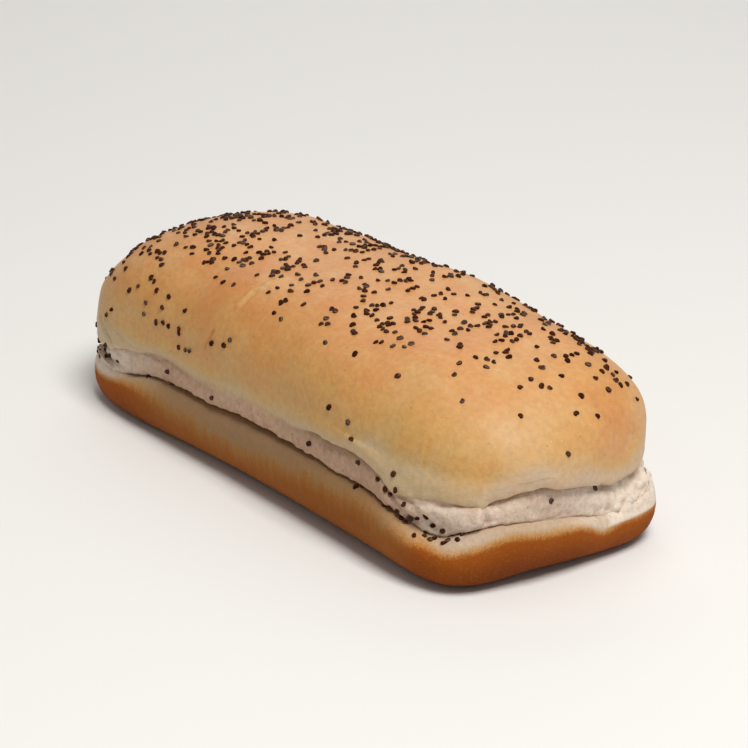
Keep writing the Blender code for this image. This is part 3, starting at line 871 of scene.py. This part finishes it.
def seed_share(points, normals, above_crease, around, ring):
    """How thickly seeds lie at each point, from 0 to 1. Ring is true except on the crown."""
    x, y = points[:, 0] / MM, points[:, 1] / MM
    line = SEED_LINE + eased(x, SEED_LINE_IN) - eased(-x, SEED_LINE_OUT)
    hold = smooth(normals[:, 2] + eased(-x, FAR_END_HOLD), *SEED_HOLD)
    corner_share, corner_x, corner_y = FAR_CORNER_THIN
    corner = corner_share * smooth(-x, *corner_x) * smooth(-y, *corner_y)
    band = smooth(y - line, *SEED_LINE_FADE) * (1.0 - eased(y, FAR_SIDE_THIN)) * hold
    band = band * (1.0 - eased(x, NEAR_END_THIN)) * (1.0 - corner)
    threads = bell(ripple(points, SEED_THREAD_SIZE, (3, 1, 4)), SEED_THREAD_WIDTH)
    patches = SEED_PATCH_MEAN + layered(points, SEED_PATCHES) + SEED_THREAD_SHARE * threads
    lowest = FOOT_STATION - CREASE_STATION - SEEDS_BELOW_FOOT
    crust = band * np.clip(patches, FEWEST_SEEDS, 1.0) * (above_crease > lowest)
    ledge = bumps(around, LEDGE_SEEDS) * bell(above_crease - LEDGE_MIDDLE, LEDGE_REACH) * ring
    stuck = bumps(around, BREAK_SEEDS) * bell(above_crease - BREAK_SEED_MIDDLE, BREAK_SEED_REACH) * ring
    stray = STRAY_SEEDS + STRAY_FAR_SEEDS * within(-x, *STRAY_FAR_PART)
    stray = stray * smooth(normals[:, 2], *STRAY_HOLD) * (above_crease > STRAY_LOWEST)
    return np.clip(crust + ledge + stuck + stray, 0.0, 1.0)


def tint(red, green, blue):
    """A colour from its everyday 0 to 255 values."""
    parts = []
    for part in (red, green, blue):
        share = part / 255.0
        parts.append(share / 12.92 if share <= 0.04045 else ((share + 0.055) / 1.055) ** 2.4)
    return (*parts, 1.0)


def set_inputs(tree, node, inputs):
    """Joins a node's inputs to other nodes' outputs, or sets them to plain values."""
    for name, value in inputs.items():
        if isinstance(value, bpy.types.NodeSocket):
            tree.links.new(value, node.inputs[name])
        else:
            node.inputs[name].default_value = value


def add_node(tree, kind, inputs, **settings):
    """A new node with its settings and inputs."""
    node = tree.nodes.new(kind)
    for name, value in settings.items():
        setattr(node, name, value)
    set_inputs(tree, node, inputs)
    return node


class Finish:
    """A material's node tree, with short ways to add nodes. Each gives the socket that holds its result."""

    def __init__(self, name):
        self.material = bpy.data.materials.new(name)
        self.material.use_nodes = True
        self.tree = self.material.node_tree
        self.place = self.add("ShaderNodeTexCoord", {}, "Object")

    def add(self, kind, inputs, result, **settings):
        return add_node(self.tree, kind, inputs, **settings).outputs[result]

    def done(self, inputs):
        """Sets or joins the shader's inputs, and gives the material."""
        set_inputs(self.tree, self.tree.nodes["Principled BSDF"], inputs)
        return self.material

    def attribute(self, name):
        return self.add("ShaderNodeAttribute", {}, "Fac", attribute_name=name)

    def math(self, operation, first, second=0.0, clamp=False):
        return self.add("ShaderNodeMath", {0: first, 1: second}, 0, operation=operation, use_clamp=clamp)

    def times(self, first, second):
        return self.math("MULTIPLY", first, second)

    def total(self, first, *others):
        """Values added up."""
        for other in others:
            first = self.math("ADD", first, other)
        return first

    def swing(self, value, amount):
        """How far a value lies from 0.5, times an amount."""
        return self.times(self.math("SUBTRACT", value, 0.5), amount)

    def span(self, value, start, stop, low=0.0, high=1.0):
        """Eases from low at start to high at stop."""
        inputs = {"Value": value, "From Min": start, "From Max": stop, "To Min": low, "To Max": high}
        return self.add("ShaderNodeMapRange", inputs, "Result", interpolation_type="SMOOTHSTEP")

    def noise(self, size, detail=3.0, rough=0.55, stretch=(1.0, 1.0, 1.0)):
        """Noise from 0 to 1 with features of about that size, in metres."""
        where = self.add("ShaderNodeMapping", {"Vector": self.place, "Scale": stretch}, "Vector")
        inputs = {"Vector": where, "Scale": 1.0 / size, "Detail": detail, "Roughness": rough}
        return self.add("ShaderNodeTexNoise", inputs, "Fac")

    def cells(self, apart):
        """Distance to the nearest of scattered points, as a share of about how far apart they are."""
        return self.add("ShaderNodeTexVoronoi", {"Vector": self.place, "Scale": 1.0 / apart}, "Distance")

    def dots(self, apart, edge, core):
        """Scattered dots: 0 past the edge and 1 within the core, as shares of how far apart they are."""
        return self.span(self.cells(apart), edge, core)

    def ramp(self, value, stops):
        """Colours along a value, from (place, colour) pairs."""
        node = add_node(self.tree, "ShaderNodeValToRGB", {"Fac": value})
        line = node.color_ramp
        while len(line.elements) < len(stops):
            line.elements.new(0.5)
        for element, (place, colour) in zip(line.elements, stops):
            element.position = place
            element.color = colour
        return node.outputs["Color"]

    def mix(self, share, first, second, blend="MIX"):
        inputs = {"Factor": share, "A": first, "B": second}
        return self.add("ShaderNodeMix", inputs, "Result", data_type="RGBA", blend_type=blend)

    def cover(self, under, colour, share, amount):
        """Lays a colour over another, by a share times an amount."""
        return self.mix(self.times(share, amount), under, colour)

    def stain(self, under, colour, share):
        """Multiplies a colour by another, by a share."""
        return self.mix(share, under, self.mix(1.0, under, colour, "MULTIPLY"))

    def roughen(self, *layers):
        """A surface roughened by layers, each (height, how far that stands out, strength)."""
        under = {}
        for height, distance, strength in layers:
            inputs = {"Height": height, "Distance": distance, "Strength": strength, **under}
            under = {"Normal": self.add("ShaderNodeBump", inputs, "Normal")}
        return under["Normal"]


CRUST_TINTS = (
    (0.00, tint(206, 180, 150)),
    (0.20, tint(208, 172, 124)),
    (0.42, tint(212, 164, 101)),
    (0.68, tint(217, 159, 97)),
    (1.00, tint(208, 141, 80)),
)
# Painted shade on the crust where it faces sideways: a little darker and more golden
SIDE_SHADE_TINT = tint(250, 250, 232)
# The base's browns are real browning, and the deepest down the wall are partly painted shade
PAN_BROWN_AND_SHADE_TINTS = (
    (0.00, tint(192, 171, 146)),
    (0.06, tint(193, 159, 118)),
    (0.14, tint(192, 136, 74)),
    (0.25, tint(156, 80, 18)),
    (1.00, tint(115, 49, 3)),
)
# Along the long sides the lip is darker too, partly painted shade under the break
SIDE_PAN_BROWN_AND_SHADE_TINTS = (
    (0.00, tint(152, 122, 92)),
    (0.10, tint(160, 124, 84)),
    (0.20, tint(162, 110, 58)),
    (0.36, tint(150, 88, 34)),
    (1.00, tint(120, 58, 12)),
)
BREAK_TINT = tint(220, 200, 184)
CREVICE_TINT = tint(203, 175, 155)
# Painted shade on the break along the long sides: darker and a little pinker
SIDE_BREAK_SHADE_TINT = tint(230, 212, 200)
SHADE_TINT = tint(150, 108, 74)
PALE_TINT = tint(222, 204, 182)
CRUMB_TINT = tint(234, 223, 208)
FLECK_TINT = tint(214, 150, 78)
SPECK_TINT = tint(232, 208, 170)
BLUSH_TINT = tint(212, 142, 84)
STRAW_TINT = tint(218, 178, 124)
PORE_TINT = tint(150, 98, 54)
WEATHER_TINT = tint(150, 96, 50)
GRAIN_TINT = tint(120, 84, 54)

# How baked the crust is, from 0 to 1: by its rise above its edge, as (millimetres where it starts and stops,
# bake there), and by noise, scorching, and the marks' painted shade in the cracks and painted highlight on
# the ridge
LOW_BAKE = (-1.0, 6.0, 0.0, 0.55)
TOP_BAKE = (4.0, 22.0, 0.0, 0.25)
UNBAKED_EDGE = (-1.5, 3.5)
BROAD_BAKE = 0.75
MOTTLE_BAKE = 0.35
SCORCH_SHADE_HIGHLIGHT_BAKE = 0.42

# Dots, as (metres apart, edge, core), patches of noise, as (values where they start and are full), and how
# much of a tint shows, as one share or as (values where it starts and stops, shares there)
SPECKS = (0.0015, 0.14, 0.07)
SPECK_SHARE = (0.4, 0.6, 0.06, 0.42)
PORES = (0.0031, 0.085, 0.05)
PORE_SHARE = 0.45
CRUMB_PORES = (0.0017, 0.17, 0.08)
CRUMB_PORE_SHARE = 0.5
BLUSH_PATCHES = (0.42, 0.68)
BLUSH_SHARE = (4.0, 14.0, 0.0, 0.40)
STRAW_PATCHES = (0.46, 0.70)
STRAW_SHARE = 0.42
STREAK_SHARE = (0.0, 1.0, 0.03, 0.24)
PAN_MOTTLE_SHARE = (0.0, 1.0, 0.08, 0.16)
PAN_GRAIN_SHARE = 0.22
BREAK_PATCHES = (0.25, 0.65)
PALE_PATCHES = (0.35, 0.70)
PALE_SHARE = 0.5
TORN_SHARE = (0.2, 0.6, 0.45, 0.95)
BREAK_SHARE = 0.95
CREVICE_SHARE = (0.25, 0.60, 0.25, 0.65)
FLECKS = (0.48, 0.68)
FLECK_SHARE = (0.05, 0.40, 0.0, 0.11)
WEATHER_PATCHES = (0.30, 0.75, 0.0, 0.20)
WEATHER_SHARE = (0.0, 0.3, 1.0, 0.25)
GRAIN_SHARE = 0.08

# The crust has a satin coat, and the break and the base are matt
CRUST_ROUGHNESS = (0.2, 0.8, 0.46, 0.58)
MATT_ROUGHNESS = 0.28
COAT_SHARE = (0.0, 1.0, 0.60, 0.0)


def crust_colour(finish, broad, mottle):
    """Golden crust, paler towards the break, with blushes, straw-coloured patches, specks, pores and painted
    side shade.
    """
    rise = finish.attribute("crust_rise")
    bake = finish.total(
        finish.span(rise, *LOW_BAKE),
        finish.span(rise, *TOP_BAKE),
        finish.swing(broad, BROAD_BAKE),
        finish.swing(mottle, MOTTLE_BAKE),
        finish.times(finish.attribute("scorch_shade_and_highlight"), SCORCH_SHADE_HIGHLIGHT_BAKE),
    )
    bake = finish.math("MULTIPLY", bake, finish.span(rise, *UNBAKED_EDGE), clamp=True)
    blush = finish.span(finish.noise(0.012, 4.0, 0.6), *BLUSH_PATCHES)
    straw = finish.span(finish.noise(0.009, 4.0, 0.6, stretch=(0.7, 1.0, 1.3)), *STRAW_PATCHES)
    crust = finish.ramp(bake, CRUST_TINTS)
    crust = finish.cover(crust, SPECK_TINT, finish.dots(*SPECKS), finish.span(broad, *SPECK_SHARE))
    crust = finish.cover(crust, BLUSH_TINT, blush, finish.span(rise, *BLUSH_SHARE))
    crust = finish.cover(crust, STRAW_TINT, straw, STRAW_SHARE)
    # Painted shade: the crust a little darker and more golden where it faces sideways
    crust = finish.stain(crust, SIDE_SHADE_TINT, finish.attribute("side_shade"))
    return finish.cover(crust, PORE_TINT, finish.dots(*PORES), PORE_SHARE)


def pan_colour(finish, mottle, grain):
    """The pan-browned base, partly painted shade: pale at its lip, browner down its wall, and streaky along
    the long sides.
    """
    side = finish.attribute("long_side")
    streaks = finish.noise(0.0014, 3.0, stretch=(1.0, 1.0, 0.10))
    browned = finish.total(
        finish.attribute("pan_depth"),
        finish.swing(streaks, finish.span(side, *STREAK_SHARE)),
        finish.swing(mottle, finish.span(side, *PAN_MOTTLE_SHARE)),
        finish.swing(grain, PAN_GRAIN_SHARE),
    )
    return finish.mix(side, finish.ramp(browned, PAN_BROWN_AND_SHADE_TINTS), finish.ramp(browned, SIDE_PAN_BROWN_AND_SHADE_TINTS))


def dough_colour(finish, mottle, crumb):
    """The break's pale dough, whiter where it tore, and darker and a little pinker along the long sides as
    painted shade.
    """
    dough = finish.mix(finish.span(crumb, *BREAK_PATCHES), CREVICE_TINT, BREAK_TINT)
    dough = finish.cover(dough, PALE_TINT, finish.span(mottle, *PALE_PATCHES), PALE_SHARE)
    dough = finish.cover(dough, PORE_TINT, finish.dots(*CRUMB_PORES), CRUMB_PORE_SHARE)
    dough = finish.cover(dough, CRUMB_TINT, finish.attribute("torn"), finish.span(crumb, *TORN_SHARE))
    # Painted shade: the break darker and a little pinker along the long sides
    return finish.stain(dough, SIDE_BREAK_SHADE_TINT, finish.attribute("long_side"))


def bread_material():
    """Crust, break and pan-browned base, from the stored marks of the loaf."""
    finish = Finish("bread")
    broad = finish.noise(0.022, 2.0)
    mottle = finish.noise(0.006, 4.0)
    fine = finish.noise(0.0013, 3.0)
    crumb = finish.noise(0.0011, 3.0)
    grain = finish.noise(0.0005, 2.0)
    base = finish.attribute("base")
    broken = finish.attribute("broken")
    depth = finish.attribute("pan_depth")

    surface = finish.mix(base, crust_colour(finish, broad, mottle), pan_colour(finish, mottle, grain))
    surface = finish.cover(surface, dough_colour(finish, mottle, crumb), broken, BREAK_SHARE)
    # Painted shade deep in the fold under the crust and in the crease
    painted_crease_shade = finish.attribute("painted_crease_shade")
    surface = finish.cover(surface, SHADE_TINT, painted_crease_shade, finish.span(mottle, *CREVICE_SHARE))
    surface = finish.cover(surface, FLECK_TINT, finish.span(grain, *FLECKS), finish.span(depth, *FLECK_SHARE))
    weathered = finish.span(fine, *WEATHER_PATCHES)
    surface = finish.cover(surface, WEATHER_TINT, weathered, finish.span(depth, *WEATHER_SHARE))
    surface = finish.cover(surface, GRAIN_TINT, grain, GRAIN_SHARE)

    matt = finish.math("MAXIMUM", base, broken, clamp=True)
    satin = finish.span(mottle, *CRUST_ROUGHNESS)
    return finish.done(
        {
            "Base Color": surface,
            "Roughness": finish.total(satin, finish.times(matt, MATT_ROUGHNESS)),
            "Specular IOR Level": 0.10,
            "Coat Weight": finish.span(matt, *COAT_SHARE),
            "Coat Roughness": 0.50,
            "Subsurface Weight": 0.12,
            "Subsurface Radius": (1.0, 0.55, 0.28),
            "Subsurface Scale": 0.0015,
            "Normal": finish.roughen(
                (mottle, 0.0006, 0.35),
                (fine, 0.00028, 0.55),
                (grain, 0.00012, 0.6),
                (finish.times(crumb, broken), 0.0004, 0.6),
            ),
        }
    )


# A poppy seed, kidney-shaped: a notch in one side, and a dimple on top, in shares of its size
SEED_LENGTH = 0.00139
SEED_WIDTH = 0.00119
SEED_THICKNESS = 0.00092
SEED_NOTCH = 0.34
SEED_NOTCH_WIDTH = 0.17
SEED_DIMPLE = 0.34
SEED_DIMPLE_SIZE = (0.20, 0.22)
SEED_DIMPLE_PLACE = 0.06
SEED_SUNK_SHARE = 0.38
SEED_SEGMENTS = 10
SEED_RINGS = 7

# How seeds are strewn
SEED_CLEARANCE = 0.00092
SEEDS_PER_SQUARE_METRE = 620000.0
SMALLEST_SEED = 0.86
LARGEST_SEED = 1.14
SEED_TILT = 0.60
SEED_DRAW = 11

# The seed coat, by each seed's tone, and a painted highlight on one side of its rim, as shares of the way out
# from the middle
SEED_TINTS = (
    (0.00, tint(50, 18, 6)),
    (0.50, tint(70, 31, 11)),
    (0.76, tint(74, 42, 25)),
    (0.92, tint(74, 57, 49)),
)
SEED_HIGHLIGHT_TINT = (0.24, 0.165, 0.125, 1.0)
HIGHLIGHT_START = 0.62
HIGHLIGHT_FULL = 0.76
HIGHLIGHT_END = 0.94
HIGHLIGHT_SIDE = (0.45, -0.15)
HIGHLIGHT_SHARE = (0.15, 1.0, 0.15, 0.85)
RIDGE_TINT = tint(16, 13, 16)
RIDGES_APART = 0.00016
RIDGE_SHARE = (0.35, 0.0, 0.0, 0.35)


def seed_object():
    """One seed at the origin, its flat side down and its crust line at Z = 0. It isn't shown itself."""
    mesh = bmesh.new()
    bmesh.ops.create_uvsphere(mesh, u_segments=SEED_SEGMENTS, v_segments=SEED_RINGS, radius=0.5)
    for vertex in mesh.verts:
        x, y, z = vertex.co
        notch = SEED_NOTCH * bell(x, SEED_NOTCH_WIDTH) * max(0.0, y)
        dimple_x, dimple_y = SEED_DIMPLE_SIZE
        dimple = SEED_DIMPLE * bell(x, dimple_x) * bell(y - SEED_DIMPLE_PLACE, dimple_y) * (z > 0.0)
        vertex.co = (
            x * SEED_LENGTH,
            (y - notch) * SEED_WIDTH,
            (z - dimple + 0.5 - SEED_SUNK_SHARE) * SEED_THICKNESS,
        )
    bmesh.ops.recalc_face_normals(mesh, faces=mesh.faces)
    data = bpy.data.meshes.new("one_seed")
    mesh.to_mesh(data)
    mesh.free()
    store(data, "seed_x", [2.0 * vertex.co.x / SEED_LENGTH for vertex in data.vertices])
    store(data, "seed_y", [2.0 * vertex.co.y / SEED_WIDTH for vertex in data.vertices])
    data.shade_smooth()
    return add_object("one_seed", data)


def seed_material():
    """The seed coat: brown-black, greyer on some seeds, dull, with a fine net of ridges and a painted
    highlight.
    """
    finish = Finish("poppy_seed_coat")
    tone = finish.attribute("tone")
    seed_x = finish.attribute("seed_x")
    seed_y = finish.attribute("seed_y")
    out = finish.total(finish.math("POWER", seed_x, 2.0), finish.math("POWER", seed_y, 2.0))
    out = finish.math("SQRT", out)
    # Painted highlight on one side of each seed's rim
    rim = finish.times(finish.span(out, HIGHLIGHT_START, HIGHLIGHT_FULL), finish.span(out, HIGHLIGHT_END, HIGHLIGHT_FULL))
    rim = finish.times(rim, finish.span(seed_y, *HIGHLIGHT_SIDE))
    coat = finish.cover(finish.ramp(tone, SEED_TINTS), SEED_HIGHLIGHT_TINT, rim, finish.span(tone, *HIGHLIGHT_SHARE))
    net = finish.cells(RIDGES_APART)
    return finish.done(
        {
            "Base Color": finish.mix(finish.span(net, *RIDGE_SHARE), coat, RIDGE_TINT),
            "Roughness": 0.45,
            "Specular IOR Level": 0.07,
            "Normal": finish.roughen((net, 0.00006, 0.8)),
        }
    )


def seed_tree(material):
    """A node tree that strews copies of one seed over a mesh, thickest where seed_share is high."""
    tree = bpy.data.node_groups.new("strew_seeds", "GeometryNodeTree")
    sizes = (
        ("Seeds per square metre", "NodeSocketFloat", SEEDS_PER_SQUARE_METRE),
        ("Clearance", "NodeSocketFloat", SEED_CLEARANCE),
        ("Smallest", "NodeSocketFloat", SMALLEST_SEED),
        ("Largest", "NodeSocketFloat", LARGEST_SEED),
        ("Tilt", "NodeSocketFloat", SEED_TILT),
        ("Draw", "NodeSocketInt", SEED_DRAW),
    )
    tree.interface.new_socket(name="Geometry", in_out="INPUT", socket_type="NodeSocketGeometry")
    tree.interface.new_socket(name="Seed", in_out="INPUT", socket_type="NodeSocketObject")
    for name, kind, value in sizes:
        tree.interface.new_socket(name=name, in_out="INPUT", socket_type=kind).default_value = value
    tree.interface.new_socket(name="Geometry", in_out="OUTPUT", socket_type="NodeSocketGeometry")
    given = tree.nodes.new("NodeGroupInput").outputs

    def add(kind, inputs, result, **settings):
        return add_node(tree, kind, inputs, **settings).outputs[result]

    def random(low, high, draw):
        inputs = {"Min": low, "Max": high, "Seed": draw}
        return add("FunctionNodeRandomValue", inputs, "Value", data_type="FLOAT")

    share = add("GeometryNodeInputNamedAttribute", {"Name": "seed_share"}, "Attribute", data_type="FLOAT")
    scatter = {
        "Mesh": given["Geometry"],
        "Distance Min": given["Clearance"],
        "Density Max": given["Seeds per square metre"],
        "Density Factor": share,
        "Seed": given["Draw"],
    }
    strewn = add_node(tree, "GeometryNodeDistributePointsOnFaces", scatter, distribute_method="POISSON")
    strewn = strewn.outputs
    back = add("ShaderNodeMath", {0: given["Tilt"], 1: -1.0}, 0, operation="MULTIPLY")
    turns = {
        "X": random(back, given["Tilt"], 1),
        "Y": random(back, given["Tilt"], 2),
        "Z": random(0.0, 2.0 * math.pi, 3),
    }
    turn = add("ShaderNodeCombineXYZ", turns, "Vector")
    spin = {"Rotation": strewn["Rotation"], "Rotate By": turn}
    copies = {
        "Points": strewn["Points"],
        "Instance": add("GeometryNodeObjectInfo", {"Object": given["Seed"]}, "Geometry"),
        "Rotation": add("FunctionNodeRotateRotation", spin, "Rotation", rotation_space="LOCAL"),
        "Scale": random(given["Smallest"], given["Largest"], 4),
    }
    seeds = add("GeometryNodeInstanceOnPoints", copies, "Instances")
    tone = {"Geometry": seeds, "Name": "tone", "Value": random(0.0, 1.0, 5)}
    seeds = add("GeometryNodeStoreNamedAttribute", tone, "Geometry", data_type="FLOAT", domain="INSTANCE")
    seeds = add("GeometryNodeRealizeInstances", {"Geometry": seeds}, "Geometry")
    seeds = add("GeometryNodeSetMaterial", {"Geometry": seeds, "Material": material}, "Geometry")
    add_node(tree, "NodeGroupOutput", {"Geometry": seeds})
    return tree


def strew(loaf, name, seed, tree):
    """Runs a strewing tree over the loaf and keeps the result as a plain mesh."""
    made = add_object(name, loaf.data.copy())
    modifier = made.modifiers.new("strew", "NODES")
    modifier.node_group = tree
    for item in tree.interface.items_tree:
        if item.in_out == "INPUT" and item.name == "Seed":
            modifier[item.identifier] = seed
    result = bpy.data.meshes.new_from_object(made.evaluated_get(bpy.context.evaluated_depsgraph_get()))
    made.modifiers.remove(modifier)
    made.data = result
    return made


def make_seeds(loaf):
    """All the seeds of the bun as one piece."""
    seed = seed_object()
    seeds = strew(loaf, "poppy_seeds", seed, seed_tree(seed_material()))
    bpy.data.objects.remove(seed)
    return seeds


FLOOR_HALF = 3.0
FLOOR_TINT = tint(236, 235, 232)

# Soft square lights, as (name, place, size, power, colour), and the even surround
LIGHTS = (
    ("key", (0.48, -0.07, 0.90), 0.42, 8.8, (1.0, 0.985, 0.96)),
    ("back", (-0.52, 0.40, 0.48), 0.55, 1.1, (1.0, 0.99, 0.98)),
)
LIGHT_AIM = (0.0, 0.0, 0.02)
SURROUND_COLOUR = (1.0, 0.985, 0.965, 1.0)
SURROUND_STRENGTH = 0.29

CAMERA_PLACE = (0.4245, -0.3027, 0.2190)
CAMERA_AIM = (0.003, 0.002, 0.0200)
CAMERA_LENS = 124.0
CAMERA_SENSOR = 36.0


def make_stage():
    """A wide, flat, pale floor."""
    half = FLOOR_HALF
    data = bpy.data.meshes.new("floor")
    corners = [(-half, -half, 0), (half, -half, 0), (half, half, 0), (-half, half, 0)]
    data.from_pydata(corners, [], [(0, 1, 2, 3)])
    data.materials.append(Finish("pale_floor").done({"Base Color": FLOOR_TINT, "Roughness": 0.9}))
    add_object("floor", data)


def stand(name, data, place, aim):
    """Stands a light or a camera at a place, turned to face another."""
    made = add_object(name, data)
    made.location = place
    made.rotation_euler = (Vector(place) - Vector(aim)).to_track_quat("Z", "Y").to_euler()
    return made


def make_lights():
    """A soft key high over the near end, a weak light from behind, and an even pale surround."""
    for name, place, size, power, colour in LIGHTS:
        data = bpy.data.lights.new(name, "AREA")
        data.size = size
        data.energy = power
        data.color = colour
        stand(name, data, place, LIGHT_AIM)
    world = bpy.data.worlds.new("surround")
    world.use_nodes = True
    background = {"Color": SURROUND_COLOUR, "Strength": SURROUND_STRENGTH}
    set_inputs(world.node_tree, world.node_tree.nodes["Background"], background)
    bpy.context.scene.world = world


def make_camera():
    """The camera where the photographer stood, turned to the bun."""
    data = bpy.data.cameras.new("camera")
    data.lens = CAMERA_LENS
    data.sensor_width = CAMERA_SENSOR
    bpy.context.scene.camera = stand("camera", data, CAMERA_PLACE, CAMERA_AIM)
    bpy.context.scene.view_settings.view_transform = "Standard"


def main():
    make_camera()
    make_lights()
    make_stage()
    loaf = make_loaf()
    loaf.data.materials.append(bread_material())
    seeds = make_seeds(loaf)
    for piece, slot in ((loaf, "crust"), (seeds, "seeds")):
        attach(piece, "root")
        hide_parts("bun")


main()
